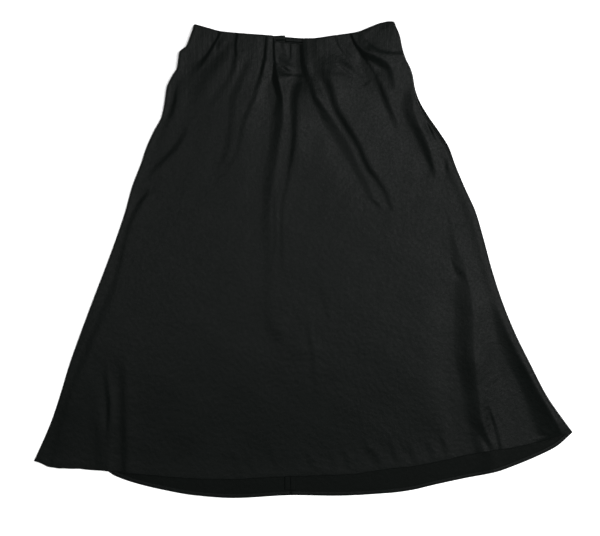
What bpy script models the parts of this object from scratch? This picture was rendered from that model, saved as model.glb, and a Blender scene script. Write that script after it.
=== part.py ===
"""Bias cut midi skirt with a gathered elastic waist, laid flat on its back.

The skirt lies on the surface z = 0 with its waist towards +Y. X runs across it and Z points up. Each
panel is an open sheet that is cut between its edge curves, laid over what is under it, raised into its
folds, and then given the thickness of the cloth. The lengths below are real sizes in millimetres.
"""

from collections import namedtuple

import bmesh
import bpy
import numpy as np

MM = 0.001

# The cloth, and how its layers lie on each other.
CLOTH = 1.2
CASING = 2.0
SEAM_GAP = 0.3
CLEARANCE = 0.5
CASING_DEPTH = 50.0
CASING_EASE = 110.0
WAIST_LOFT = 5.0
BODY_LOFT = 4.0
HEM_LOFT = 0.7
HEM_EASE = 140.0
SOFTNESS = 0.8

# The tables below hold what is seen from this far above this point. A raised point looks a little further
# out than it is.
VIEW_HEIGHT = 2187.5
VIEW_CENTRE = (-6.0, -15.0)

# The outline, laid flat. "down" is measured from the highest point of the waist, and the other columns
# are distances from the middle of the hem, right being positive.
LENGTH = 835.0
CENTRE_SEAM = (-32.0, -23.0)

Section = namedtuple("Section", "down left right")
SIDES = [
    Section(0, -189.0, 158.0),
    Section(26, -198.5, 169.0),
    Section(44, -205.5, 172.5),
    Section(54, -217.5, 175.0),
    Section(68, -219.5, 180.0),
    Section(82, -221.5, 187.0),
    Section(96, -230.0, 191.5),
    Section(117, -239.5, 195.0),
    Section(138, -242.5, 202.0),
    Section(166, -248.0, 218.0),
    Section(194, -262.5, 237.5),
    Section(222, -275.0, 255.0),
    Section(250, -284.5, 265.0),
    Section(292, -300.5, 282.5),
    Section(334, -312.0, 301.5),
    Section(376, -326.0, 314.0),
    Section(432, -346.5, 329.0),
    Section(488, -368.0, 347.0),
    Section(544, -389.0, 369.5),
    Section(600, -409.0, 397.0),
    Section(656, -426.0, 426.0),
    Section(698, -440.0, 455.0),
    Section(734, -455.0, 482.0),
    Section(770, -471.5, 510.0),
]

Edge = namedtuple("Edge", "across down")
WAIST = [
    Edge(-192, 5.0),
    Edge(-167, 12.0),
    Edge(-146, 17.5),
    Edge(-104, 21.5),
    Edge(-62, 24.5),
    Edge(-31, 27.5),
    Edge(11, 30.0),
    Edge(53, 25.0),
    Edge(95, 18.7),
    Edge(116, 10.7),
    Edge(137, 3.0),
    Edge(152, 0.2),
    Edge(160, 0.5),
]
FRONT_HEM = [
    Edge(-471.5, 770),
    Edge(-440, 782),
    Edge(-393, 784.5),
    Edge(-347, 788),
    Edge(-277, 795),
    Edge(-183, 802),
    Edge(-122, 803),
    Edge(-58, 799),
    Edge(83, 794),
    Edge(139, 786),
    Edge(200, 779),
    Edge(253, 768),
    Edge(305, 757),
    Edge(374, 746),
    Edge(443, 729),
    Edge(473, 718),
]
BACK_HEM = [
    Edge(-471.5, 770),
    Edge(-440, 779),
    Edge(-393, 781),
    Edge(-350, 784.5),
    Edge(-330, 796),
    Edge(-297, 808),
    Edge(-244, 821),
    Edge(-192, 830),
    Edge(-122, 835),
    Edge(-16, 830),
    Edge(53, 831),
    Edge(152, 826),
    Edge(187, 821.5),
    Edge(228, 812),
    Edge(281, 800.5),
    Edge(337, 789.5),
    Edge(370, 778),
    Edge(415, 759),
    Edge(443, 744.5),
    Edge(473, 718),
]

# Where the front is drawn in at the middle of the waist, and tucked under at the right hip.
RECESS = namedtuple("Recess", "left right drop lip fade")(-52.0, 0.0, 9.5, 5.0, 90.0)
HIP_TUCK = namedtuple("Tuck", "down reach depth share")(190.0, 55.0, 7.0, 0.9)
FRONT_INSET = 1.2

# How far the back's waist lies below the front's, and how far each half of it rises at the centre seam.
BACK_DROP = 1.0
SEAM_PEAK = {"left": 4.0, "right": 0.0, "share": 0.14}

# How far in from the sides the cloth rolls over to its seam, and how its loft grows from there.
SIDE_ROLL = 4.0
SIDE_LOFT = 0.6
SIDE_EASE = 60.0

# The folds of the front. A tuck is a band where the cloth climbs towards the left of someone who walks
# along its path. It sinks by the same amount before the band, and levels off within the fall on both
# sides. A crisp tuck breaks sharply at its crest, or at its foot if the number is negative. A swell is a
# rounded ridge or hollow. Each point of a path is (x, y, rise, half width) from the middle of the skirt.
Tuck = namedtuple("Tuck", "name crisp fall path")
Swell = namedtuple("Swell", "name flat path")
FRONT_FOLDS = [
    Tuck(
        "gather_1", 0.5, 12,
        [
            (-144, 402, 1.2, 1.5), (-160, 375, 1.6, 1.6), (-172, 358, 1.6, 2), (-181, 349, 1, 3),
            (-195, 333, 0, 5),
        ],
    ),
    Tuck(
        "gather_2", 0.5, 12,
        [
            (-112, 402, 1.2, 1.5), (-119, 383, 1.7, 1.6), (-122, 368, 1.5, 2), (-119, 350, 1.3, 3),
            (-123, 328, 0.9, 4), (-128, 312, 0, 5),
        ],
    ),
    Tuck(
        "gather_2_drape", 0.3, 18,
        [
            (-126, 385, 0, 5), (-134, 362, 1.2, 6), (-150, 337, 1.6, 6.5), (-165, 302, 1.7, 7),
            (-185, 260, 1.4, 8), (-205, 228, 0.8, 8), (-225, 205, 0, 9),
        ],
    ),
    Tuck(
        "gather_3", 0.3, 14,
        [
            (-93, 358, 0, 3), (-97, 338, 1, 4), (-105, 308, 1.4, 4.5), (-117, 283, 1.6, 5),
            (-124, 255, 1.6, 5), (-132, 225, 1.5, 5), (-145, 198, 1.1, 6), (-158, 168, 0, 7),
        ],
    ),
    Tuck(
        "gather_4", 0.5, 12,
        [
            (-62, 392, 0.8, 1.5), (-66, 368, 1.5, 1.6), (-71, 340, 1.5, 1.8), (-77, 316, 1.3, 2.2),
            (-86, 290, 1.1, 3), (-98, 256, 1.1, 3), (-111, 220, 1.1, 3.2), (-120, 196, 1, 4),
            (-136, 171, 0.7, 5), (-160, 140, 0, 6),
        ],
    ),
    Tuck(
        "left_hip", 0.3, 8,
        [
            (-218, 310, 0, 3), (-224, 288, 0.9, 3), (-233, 265, 1.1, 3), (-246, 238, 0.8, 3.5),
            (-256, 222, 0, 4),
        ],
    ),
    Tuck(
        "left_drape", 0.3, 9,
        [
            (-202, 232, 0, 3), (-210, 215, 1, 3.5), (-222, 198, 1.6, 3.5), (-232, 187, 1.5, 3.5),
            (-247, 173, 1.1, 4), (-264, 153, 0.6, 4), (-276, 138, 0, 4),
        ],
    ),
    Tuck(
        "left_side", -0.8, 11,
        [
            (-268, 125, 0, 3), (-279, 108, 1.1, 4), (-289, 95, 1.2, 5), (-303, 65, 1.2, 6),
            (-313, 30, 1.1, 6), (-318, 0, 1, 6), (-324, -30, 0.7, 6), (-338, -65, 0.6, 5),
            (-354, -98, 1, 5), (-369, -125, 1.2, 5), (-379, -152, 1.6, 5), (-393, -185, 1.5, 5.5),
            (-405, -212, 1.6, 6), (-416, -245, 1.5, 6.5), (-424, -280, 1.5, 7), (-431, -315, 1.3, 7),
            (-436, -345, 0.8, 7),
        ],
    ),
    Tuck(
        "left_pleat", 0.8, 18,
        [
            (-52, 396, 1.5, 1.2), (-52, 362, 2.2, 1.3), (-50, 330, 2.6, 2.5), (-46, 300, 3.2, 4.5),
            (-44, 280, 3.4, 6), (-45, 255, 3.2, 6.5), (-48, 235, 3, 6.2), (-50, 212, 3, 6.2),
            (-54, 185, 2.9, 6.5), (-59, 158, 2.7, 6), (-63, 138, 2.6, 6), (-66, 105, 2.5, 6.5),
            (-68, 70, 2, 6.5), (-67, 35, 1.5, 6.5), (-66, 0, 1.1, 7), (-65, -45, 0.9, 6),
            (-67, -80, 0.9, 7), (-64, -105, 1, 7.5), (-58, -122, 1.3, 8), (-47, -134, 1.2, 7),
            (-30, -141, 0, 6),
        ],
    ),
    Tuck(
        "centre_trough", 0.3, 16,
        [
            (-6, 322, 0, 6), (-12, 300, 1.4, 6), (-16, 275, 1.7, 5), (-19, 248, 2.2, 4.5),
            (-20.5, 220, 2.2, 4.5), (-22.5, 198, 2, 4.5), (-24.5, 176, 1.6, 4), (-29, 148, 1, 3),
            (-35, 122, 0.8, 2), (-37, 95, 0.8, 1.8), (-37, 50, 0.7, 1.8), (-38, 0, 0.5, 2),
            (-38, -30, 0, 3),
        ],
    ),
    Swell(
        "recess", 5,
        [
            (-27, 405, -4, 26), (-27, 350, -4, 26), (-27, 316, -1, 24),
        ],
    ),
    Tuck(
        "right_pleat", 0.8, 14,
        [
            (-3, 396, 1.5, 2), (-3, 362, 2.2, 3), (-1, 338, 2.4, 4.5), (3, 318, 2.6, 7),
            (11, 300, 2.8, 7.5), (21, 281, 2.8, 6), (34, 258, 2.8, 5.5), (48, 238, 2.6, 5.5),
            (60, 220, 2.5, 5.5), (71, 203, 2.4, 5.2), (80, 188, 2.4, 5), (87, 172, 2.3, 5),
            (95, 154, 2, 4.8), (104, 133, 1.5, 4.5), (111, 118, 1, 4), (118, 106, 0.8, 1.6),
            (128, 97, 0.8, 1.3), (140, 85, 0, 1.5),
        ],
    ),
    Tuck(
        "gather_5", 0.6, 13,
        [
            (18, 388, 0.3, 3), (20, 362, 0.6, 4), (29, 340, 1.2, 6), (39, 318, 1.9, 7.5),
            (46, 297, 2, 6), (56, 273, 2.2, 5), (66, 254, 2.4, 4.5), (76, 237, 2.4, 4.5),
            (88, 215, 2, 4.5), (99, 193, 2.1, 4.5), (107, 175, 2.3, 4.5), (116, 157, 2.2, 4.5),
            (128, 142, 1.8, 4.5), (138, 128, 1.7, 4.5), (146, 113, 1.3, 4.2), (151, 96, 0.8, 4),
            (156, 82, 0, 4),
        ],
    ),
    Tuck(
        "gather_6", 0.3, 8,
        [
            (56, 388, 0.6, 1.3), (61, 372, 1.2, 1.4), (73, 355, 1.2, 1.5), (84, 341, 0, 2),
        ],
    ),
    Tuck(
        "gather_7", 0.8, 10,
        [
            (80, 402, 1.2, 1.5), (90, 374, 2.2, 2), (101, 363, 2.6, 3.5), (120, 356, 3, 5),
            (136, 346, 3, 6), (147, 334, 2.6, 5.5), (151, 318, 1.6, 4.5), (154, 300, 0, 5),
        ],
    ),
    Tuck(
        "gather_8", 0.5, 10,
        [
            (98, 362, 0, 2), (107, 347, 1.4, 2.8), (116, 334, 1.8, 3), (124, 322, 1.8, 3),
            (132, 307, 1.7, 3), (141, 292, 1.4, 3.2), (148, 273, 1.1, 3.5), (154, 254, 0.8, 4),
            (160, 232, 0, 5),
        ],
    ),
    Tuck(
        "casing_crease", 0, 7,
        [
            (106, 388, 0, 1.2), (115, 378, 1, 1.2), (125, 370, 1.1, 1.3), (140, 365, 1.1, 1.3),
            (155, 361, 1, 1.3), (172, 360, 0.6, 1.3), (184, 360, 0, 1.3),
        ],
    ),
    Tuck(
        "right_hip", 0.8, 9,
        [
            (182, 300, 0, 3), (186, 270, 0.9, 4), (190, 244, 1.3, 4.5), (197, 224, 1.9, 4.5),
            (205, 208, 2.3, 4.5), (212, 192, 2.4, 4.3), (218, 176, 2.4, 4.2), (223, 162, 2, 3.8),
            (229, 143, 0, 3),
        ],
    ),
    Tuck(
        "left_flute_line", 0.6, 10,
        [
            (-350, -185, 0, 1.3), (-347, -205, 1.2, 1.4), (-344, -228, 1.6, 1.5),
            (-341.5, -245, 2.4, 1.6), (-341, -270, 2.6, 1.7), (-341, -296, 2.2, 1.6),
            (-342, -320, 1.2, 1.8), (-345, -360, 1, 2.5), (-346, -385, 1, 3),
        ],
    ),
    Tuck(
        "left_flute_outer", 0, 14,
        [
            (-358, -225, 0, 10), (-360, -280, 1, 13), (-362, -330, 1.6, 14), (-362, -395, 1.8, 14),
        ],
    ),
    Tuck(
        "left_flute_inner", 0.3, 10,
        [
            (-318, -165, 0, 5), (-318, -200, 0.7, 4.5), (-317, -240, 1, 4.5), (-316, -280, 1.4, 4.5),
            (-316, -320, 1.7, 4.5), (-316, -395, 1.7, 4.5),
        ],
    ),
    Tuck(
        "right_flute", 0.7, 22,
        [
            (255, 75, 0, 4), (257, 40, 0.8, 4), (260, 15, 1.3, 4), (266, -8, 1.8, 5),
            (274, -28, 2.2, 6), (278, -45, 3, 8), (282, -70, 3.6, 11), (281, -100, 4.2, 13.5),
            (283, -140, 4.4, 13.5), (286, -180, 4.4, 13.5), (290, -215, 4.2, 13), (296, -245, 3.8, 12),
            (302, -265, 3.2, 10), (311, -283, 2.6, 7), (320, -300, 2.2, 5), (329, -317, 1.8, 3),
            (338, -332, 1.4, 2), (343, -345, 1.2, 2),
        ],
    ),
    Tuck(
        "right_flute_inner", 0, 10,
        [
            (284, -235, 0, 6), (286, -265, 0.9, 6), (289, -295, 1.2, 6), (299, -320, 1.2, 6),
            (310, -345, 0.8, 5),
        ],
    ),
    Tuck(
        "right_side", 0.9, 12,
        [
            (328, -80, 0, 4), (333, -98, 1, 6), (340, -118, 1.8, 7), (350, -138, 2.4, 8),
            (359, -158, 3, 10), (370, -178, 3.4, 11.5), (381, -198, 3.6, 12), (393, -218, 3.6, 12),
            (402, -238, 3.6, 13), (414, -258, 3.6, 14), (427, -280, 3.6, 14), (438, -300, 3, 13),
            (448, -316, 2.4, 11),
        ],
    ),
]

# The few waves that lift the back off the surface, towards the front. Its gathers lie flat under the waist.
BACK_FOLDS = [
    Swell(
        "back_gather_1", 2,
        [
            (-140, 395, 1.6, 11), (-150, 340, 2.2, 13), (-166, 250, 0, 16),
        ],
    ),
    Swell(
        "back_gather_2", 2,
        [
            (-92, 390, 1.6, 10), (-98, 330, 2.4, 13), (-112, 220, 0, 17),
        ],
    ),
    Swell(
        "back_gather_3", 2,
        [
            (52, 388, 1.6, 10), (60, 330, 2.4, 13), (84, 230, 0, 17),
        ],
    ),
    Swell(
        "back_gather_4", 2,
        [
            (112, 396, 1.6, 11), (124, 340, 2.2, 13), (150, 240, 0, 16),
        ],
    ),
    Swell(
        "back_hem_wave", 2,
        [
            (318, -250, 0, 12), (330, -330, 2.2, 12), (334, -390, 3, 13),
        ],
    ),
    Swell(
        "back_hem_lift", 2,
        [
            (-150, -300, 0, 24), (-170, -370, 1.2, 28), (-178, -430, 1.8, 34),
        ],
    ),
]

# The colour of the cloth, and how many rows and columns each sheet is cut into.
BLACK = (0.017, 0.018, 0.018, 1.0)
CASING_BLACK = (0.014, 0.015, 0.015, 1.0)
CASING_ROWS = 4
UPPER_ROWS = 19
UPPER_REACH = 322.0
LOWER_ROWS = 15
FRONT_COLUMNS = 66
BACK_COLUMNS = 16
BACK_UPPER_ROWS = 8
BACK_LOWER_ROWS = 10
EDGE_STEPS = (0.0, 0.8, 2.2, 4.0)
HEM_CROWDING = 0.06
PATH_STEP = 8.0
REACH = 3.0
NARROWEST = 6.0


def through(keys, values, at):
    """Reads a smooth curve through the values, which never swings past them between two keys."""
    keys = np.asarray(keys, float)
    values = np.asarray(values, float)
    steps = np.diff(keys)
    slopes = np.diff(values) / steps
    product = slopes[:-1] * slopes[1:]
    same_way = product > 0
    total = np.where(same_way, slopes[:-1] + slopes[1:], 1.0)
    inner = np.where(same_way, 2 * product / total, 0.0)
    tangents = np.concatenate([slopes[:1], inner, slopes[-1:]])
    at = np.clip(at, keys[0], keys[-1])
    cell = np.clip(np.searchsorted(keys, at, side="right") - 1, 0, len(steps) - 1)
    t = (at - keys[cell]) / steps[cell]
    start = (1 + 2 * t) * (1 - t) ** 2 * values[cell] + t * (1 - t) ** 2 * steps[cell] * tangents[cell]
    end = t * t * (3 - 2 * t) * values[cell + 1] - t * t * (1 - t) * steps[cell] * tangents[cell + 1]
    return start + end


def column(table, field):
    return [getattr(row, field) for row in table]


def ease(start, end, at):
    """0 up to the start, 1 from the end on, and a smooth step between them."""
    t = np.clip((at - start) / (end - start), 0, 1)
    return t * t * (3 - 2 * t)


def side_at(side, down):
    """How far across the left or right side seam lies."""
    return through(column(SIDES, "down"), column(SIDES, side), down)


def edge_at(table, across):
    """How far down the waist or a hem lies."""
    return through(column(table, "across"), column(table, "down"), across)


def meeting(side, table, first_guess):
    """How far down a side seam meets an edge."""
    down = first_guess
    for _ in range(12):
        down = edge_at(table, side_at(side, down))
    return float(down)


def side_curve(side, hem):
    """A side seam from the waist to the hem, as a function of the share of its length."""
    top = meeting(side, WAIST, WAIST[0].down)
    bottom = meeting(side, hem, hem[0].down)

    def curve(share):
        down = top + (bottom - top) * share
        return np.stack([side_at(side, down), down], -1)

    return curve


def seam_curve(offset):
    """One side of the centre seam of the back."""
    ends = np.array([[across + offset, 0.0] for across in CENTRE_SEAM])
    ends[0, 1] = edge_at(WAIST, ends[0, 0])
    ends[1, 1] = edge_at(BACK_HEM, ends[1, 0])
    return lambda share: ends[0] + (ends[1] - ends[0]) * np.asarray(share)[..., None]


def edge_curve(table, left, right):
    """A stretch of the waist or a hem between two points, as a function of the share of its width."""

    def curve(share):
        across = left[0] + (right[0] - left[0]) * share
        return np.stack([across, edge_at(table, across)], -1)

    return curve


def cut(left, right, hem, shares_across, shares_down):
    """The flat plan of a panel: a grid of (across, down) points between its four edges."""
    u = shares_across[..., None]
    v = shares_down[..., None]
    top = edge_curve(WAIST, left(np.array(0.0)), right(np.array(0.0)))
    bottom = edge_curve(hem, left(np.array(1.0)), right(np.array(1.0)))
    sides = (1 - u) * left(shares_down) + u * right(shares_down)
    ends = (1 - v) * top(shares_across) + v * bottom(shares_across)
    corners = (1 - u) * ((1 - v) * top(0.0) + v * bottom(0.0)) + u * ((1 - v) * top(1.0) + v * bottom(1.0))
    return sides + ends - corners


def down_shares(upper_rows, lower_rows):
    """The rows of a panel, as shares of its length: a few in the casing, then close ones, then wide ones."""
    reach = FRONT_HEM[0].down
    rows = [
        np.linspace(0, CASING_DEPTH, CASING_ROWS + 1),
        np.linspace(CASING_DEPTH, UPPER_REACH, upper_rows + 1)[1:],
        np.linspace(UPPER_REACH, reach, lower_rows + 1)[1:],
    ]
    return np.concatenate(rows) / reach


def front_grid():
    """The shares across and down of the front's grid, with close columns at its sides."""
    down = down_shares(UPPER_ROWS, LOWER_ROWS)
    left = side_curve("left", FRONT_HEM)(down)
    right = side_curve("right", FRONT_HEM)(down)
    widths = right[:, 0] - left[:, 0]
    even = np.linspace(0, 1, FRONT_COLUMNS + 1)[1:-1]
    rows = []
    for share, width in zip(down, widths):
        edge = np.array(EDGE_STEPS) / width
        crowded = even - HEM_CROWDING * share * np.sin(2 * np.pi * even)
        inner = edge[-1] + (1 - 2 * edge[-1]) * crowded
        rows.append(np.concatenate([edge, inner, 1 - edge[::-1]]))
    across = np.array(rows)
    return across, np.broadcast_to(down[:, None], across.shape)


def path_points(fold):
    """Points along a fold's smooth path, each with its rise and a width that the grid can hold."""
    rows = np.array(fold.path, float)
    rows[:, 3] = np.maximum(rows[:, 3], NARROWEST)
    lengths = np.hypot(*np.diff(rows[:, :2], axis=0).T)
    along = np.concatenate([[0], np.cumsum(lengths)])
    at = np.linspace(0, along[-1], int(along[-1] / PATH_STEP) + 2)
    return np.stack([through(along, values, at) for values in rows.T], -1)


def near_path(points, x, y):
    """Distance from a path, the same with a sign for the side, and the rise and width at the nearest point."""
    nearest = np.full(x.shape, np.inf)
    signed, rise, width = (np.zeros(x.shape) for _ in range(3))
    for a, b in zip(points[:-1], points[1:]):
        run = b - a
        length = np.hypot(run[0], run[1])
        away_x = x - a[0]
        away_y = y - a[1]
        t = np.clip((away_x * run[0] + away_y * run[1]) / length**2, 0, 1)
        distance = np.hypot(away_x - t * run[0], away_y - t * run[1])
        side = np.sign(run[0] * away_y - run[1] * away_x)
        closer = distance < nearest
        nearest = np.where(closer, distance, nearest)
        signed = np.where(closer, side * distance, signed)
        rise = np.where(closer, a[2] + t * run[2], rise)
        width = np.where(closer, a[3] + t * run[3], width)
    return nearest, signed, rise, width


def tuck_height(tuck, nearest, signed, rise, width):
    """The cloth sinks before the band, climbs across it, and levels off on both sides."""
    share = np.clip((signed / width + 1) / 2, 0, 1)
    soft = share * share * (3 - 2 * share)
    broken = share**2 if tuck.crisp > 0 else 1 - (1 - share) ** 2
    climb = soft + abs(tuck.crisp) * (broken - soft)
    beyond = np.maximum(nearest - width, 0) / tuck.fall
    at_break = signed * tuck.crisp > 0
    level = 0.5 ** (beyond ** np.where(at_break, 2 - abs(tuck.crisp), 2))
    return rise * (2 * climb - 1) * level


def swell_height(swell, nearest, rise, width):
    return rise * 0.5 ** ((nearest / width) ** swell.flat)


def relief(folds, x, y):
    """The height of all the folds together. Each is worked out only near its own path."""
    total = np.zeros(x.shape)
    for fold in folds:
        points = path_points(fold)
        is_tuck = isinstance(fold, Tuck)
        margin = points[:, 3].max() + REACH * (fold.fall if is_tuck else points[:, 3].max())
        low = points[:, :2].min(0) - margin
        high = points[:, :2].max(0) + margin
        near = (x > low[0]) & (x < high[0]) & (y > low[1]) & (y < high[1])
        nearest, signed, rise, width = near_path(points, x[near], y[near])
        if is_tuck:
            total[near] += tuck_height(fold, nearest, signed, rise, width)
        else:
            total[near] += swell_height(fold, nearest, rise, width)
    return total


def above(height):
    """The height, kept above nought by a soft corner."""
    return (height + np.hypot(height, SOFTNESS)) / 2


def placed(plan, height):
    """Grid points in the skirt's own frame, from a plan and a height at each of its points."""
    seen = np.stack([plan[..., 0], LENGTH / 2 - plan[..., 1]], -1)
    nearer = 1 - height[..., None] / VIEW_HEIGHT
    flat = VIEW_CENTRE + (seen - VIEW_CENTRE) * nearer
    return np.concatenate([flat, height[..., None]], -1)


def back_relief(x, y):
    return np.maximum(relief(BACK_FOLDS, x, y), 0)


def front_plan():
    """The front's flat plan: drawn in at the middle of its waist, and tucked under at the right hip."""
    across, down = front_grid()
    plan = cut(side_curve("left", FRONT_HEM), side_curve("right", FRONT_HEM), FRONT_HEM, across, down)
    depth = down * FRONT_HEM[0].down
    x = plan[..., 0]
    half_lip = RECESS.lip / 2
    inside = ease(RECESS.left - half_lip, RECESS.left + half_lip, x)
    inside = inside - ease(RECESS.right - half_lip, RECESS.right + half_lip, x)
    plan[..., 1] += RECESS.drop * inside * (1 - ease(0, RECESS.fade, depth))
    tuck = HIP_TUCK.depth * np.exp(-(((plan[..., 1] - HIP_TUCK.down) / HIP_TUCK.reach) ** 2))
    plan[..., 0] -= tuck * ease(HIP_TUCK.share, 1, across)
    plan[..., 0] += FRONT_INSET * (1 - 2 * across)
    return plan, depth


def front_points():
    """The underside of the front, over the back and, at the waist, over both casings."""
    plan, depth = front_plan()
    x = plan[..., 0]
    y = LENGTH / 2 - plan[..., 1]
    band = 1 - ease(CASING_DEPTH, CASING_DEPTH + CASING_EASE, depth)
    stack = band * (2 * CASING + 2 * SEAM_GAP + CLEARANCE)
    loft = BODY_LOFT + (WAIST_LOFT - BODY_LOFT) * band
    to_hem = depth[-1, 0] - depth
    loft = HEM_LOFT + (loft - HEM_LOFT) * ease(0, HEM_EASE, to_hem)
    to_side = np.minimum(x - x[:, :1], x[:, -1:] - x)
    loft = loft * (SIDE_LOFT + (1 - SIDE_LOFT) * ease(0, SIDE_EASE, to_side))
    height = stack + above(loft + relief(FRONT_FOLDS, x, y))
    inwards = np.clip(to_side / SIDE_ROLL, 0, 1)
    roll = np.sqrt(1 - (1 - inwards) ** 2)
    return placed(plan, back_relief(x, y) + CLOTH + SEAM_GAP + height * roll)


def back_points(half):
    """The underside of one half of the back, on the surface that the skirt lies on."""
    shares = np.linspace(0, 1, BACK_COLUMNS + 1)
    across, down = np.meshgrid(shares, down_shares(BACK_UPPER_ROWS, BACK_LOWER_ROWS))
    if half == "left":
        plan = cut(side_curve("left", BACK_HEM), seam_curve(-SEAM_GAP / 2), BACK_HEM, across, down)
        to_seam = 1 - across
    else:
        plan = cut(seam_curve(SEAM_GAP / 2), side_curve("right", BACK_HEM), BACK_HEM, across, down)
        to_seam = across
    at_waist = 1 - ease(0, CASING_DEPTH, down * FRONT_HEM[0].down)
    peak = SEAM_PEAK[half] * (1 - ease(0, SEAM_PEAK["share"], to_seam))
    plan[..., 1] += (BACK_DROP - peak) * at_waist
    return placed(plan, back_relief(plan[..., 0], LENGTH / 2 - plan[..., 1]))


def moved_out(points, distance):
    """The points of a sheet moved along its upward normals."""
    normals = np.cross(np.gradient(points, axis=0), np.gradient(points, axis=1))
    normals = normals / np.linalg.norm(normals, axis=-1, keepdims=True)
    return points + normals * distance


def cloth_material(name, colour, roughness):
    material = bpy.data.materials.new(name)
    material.use_nodes = True
    shader = material.node_tree.nodes["Principled BSDF"]
    shader.inputs["Base Color"].default_value = colour
    shader.inputs["Roughness"].default_value = roughness
    shader.inputs["Metallic"].default_value = 0.0
    return material


def sheet(name, points, thickness, material, collection):
    """A panel: a grid laid through the points, with the cloth's thickness above it, or below if negative."""
    rows, columns = points.shape[:2]
    form = bmesh.new()
    bmesh.ops.create_grid(form, x_segments=columns - 1, y_segments=rows - 1, size=1.0)
    for vert, point in zip(form.verts, points[::-1].reshape(-1, 3)):
        vert.co = point * MM
    mesh = bpy.data.meshes.new(name)
    form.to_mesh(mesh)
    form.free()
    mesh.shade_smooth()
    mesh.materials.append(material)
    panel = bpy.data.objects.new(name, mesh)
    collection.objects.link(panel)
    wall = panel.modifiers.new("cloth", "SOLIDIFY")
    wall.thickness = abs(thickness) * MM
    wall.offset = 1.0 if thickness > 0 else -1.0
    return panel


def main():
    for old in list(bpy.data.objects):
        bpy.data.objects.remove(old)
    skirt = bpy.data.collections.new("bias_cut_midi_skirt")
    bpy.context.scene.collection.children.link(skirt)
    crepe = cloth_material("black_crepe_satin", BLACK, 0.5)
    elastic = cloth_material("black_casing", CASING_BLACK, 0.6)

    front = front_points()
    sheet("front_panel", front, CLOTH, crepe, skirt)
    in_casing = front[: CASING_ROWS + 1, len(EDGE_STEPS) - 1 : 1 - len(EDGE_STEPS)]
    sheet("front_casing", moved_out(in_casing, -SEAM_GAP), -CASING, elastic, skirt)
    for half in ("left", "right"):
        back = back_points(half)
        sheet(f"back_panel_{half}", back, CLOTH, crepe, skirt)
        columns = slice(1, None) if half == "left" else slice(0, -1)
        in_casing = moved_out(back, CLOTH + SEAM_GAP)[: CASING_ROWS + 1, columns]
        sheet(f"back_casing_{half}", in_casing, CASING, elastic, skirt)


main()
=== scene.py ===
# %% [markdown]
# # A bias cut midi skirt, laid flat
#
# The skirt lies on its back on a pale floor and is seen from straight above. It is one soft black crepe
# satin, cut so that its threads run at 45 degrees to the hem. Cut like that, the cloth stretches and
# flows, so its folds are long, low and rounded. An elastic draws the waist in, and the spare cloth fans
# out below it in gathers.
#
# Each step makes one thing that a maker would cut and sew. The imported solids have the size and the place
# of each piece, and stand for it in simulation. What is seen is a thin shell over each, with finer folds.

# %% Load the frame
from collections import namedtuple

import bmesh
import bpy
import numpy as np
from mathutils import Matrix, Vector


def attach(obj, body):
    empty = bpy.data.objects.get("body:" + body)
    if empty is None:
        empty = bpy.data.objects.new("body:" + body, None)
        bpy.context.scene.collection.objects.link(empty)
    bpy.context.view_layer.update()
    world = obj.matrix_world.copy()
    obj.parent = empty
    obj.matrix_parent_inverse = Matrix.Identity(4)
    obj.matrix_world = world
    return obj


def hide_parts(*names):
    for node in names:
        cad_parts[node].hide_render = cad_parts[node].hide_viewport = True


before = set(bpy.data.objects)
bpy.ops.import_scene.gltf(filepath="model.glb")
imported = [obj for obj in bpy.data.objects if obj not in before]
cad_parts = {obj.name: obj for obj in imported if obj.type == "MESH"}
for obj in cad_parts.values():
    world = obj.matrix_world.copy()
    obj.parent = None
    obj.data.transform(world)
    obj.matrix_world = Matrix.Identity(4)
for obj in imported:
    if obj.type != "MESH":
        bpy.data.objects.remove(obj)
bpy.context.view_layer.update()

MM = 0.001


# %% [markdown]
# ## Camera
#
# A photo of clothes laid flat is taken from straight above, so that nothing is foreshortened. One pixel
# of the photo is 1.75 mm of the floor. That follows from the relaxed waist, which is about 36 cm wide.
# The lens is a long one, held high, because a wide one would show more of the near sides of the folds.

# %% Place the camera over the middle of the photo
PHOTO_WIDTH = 600
PIXEL = 1.75
VIEW_CENTRE = (-6.0, -15.0)
LENS = 75.0
VIEW_REACH = 20.0

camera_data = bpy.data.cameras.new("overhead camera")
camera_data.lens = LENS
camera_data.clip_end = VIEW_REACH
camera = bpy.data.objects.new("overhead camera", camera_data)
view_width = PHOTO_WIDTH * PIXEL * MM
camera_height = view_width * LENS / camera_data.sensor_width
camera.location = (VIEW_CENTRE[0] * MM, VIEW_CENTRE[1] * MM, camera_height)
bpy.context.scene.collection.objects.link(camera)
bpy.context.scene.camera = camera
print("camera height, m:", round(camera_height, 3))

# %% [markdown]
# ## Floor and light
#
# Black satin shows its folds by what it mirrors and hardly by its own colour. Level cloth mirrors the
# lamps overhead and looks charcoal. A slope mirrors the dark room beside them and looks black. So the
# main lamp is wide and stands a little to the right, a smaller and weaker one stands to the left, and the
# room is dim. One small lamp would give hard, glassy streaks, and light from everywhere would make the
# folds vanish.

# %% Helpers for objects and plain materials


def new_object(name, form):
    """Turns a bmesh into an object in the scene."""
    mesh = bpy.data.meshes.new(name)
    form.to_mesh(mesh)
    form.free()
    made = bpy.data.objects.new(name, mesh)
    bpy.context.scene.collection.objects.link(made)
    return made


def set_inputs(shader, values):
    for name, value in values.items():
        shader.inputs[name].default_value = value


def plain_material(name, colour, roughness):
    material = bpy.data.materials.new(name)
    material.use_nodes = True
    shader = material.node_tree.nodes["Principled BSDF"]
    set_inputs(shader, {"Base Color": (*colour, 1.0), "Roughness": roughness})
    return material


# %% Lay the floor
FLOOR_SIZE = 8.0
FLOOR_GREY = 0.92
FLOOR_ROUGHNESS = 0.9
FLOOR_GAP = 0.0002

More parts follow.
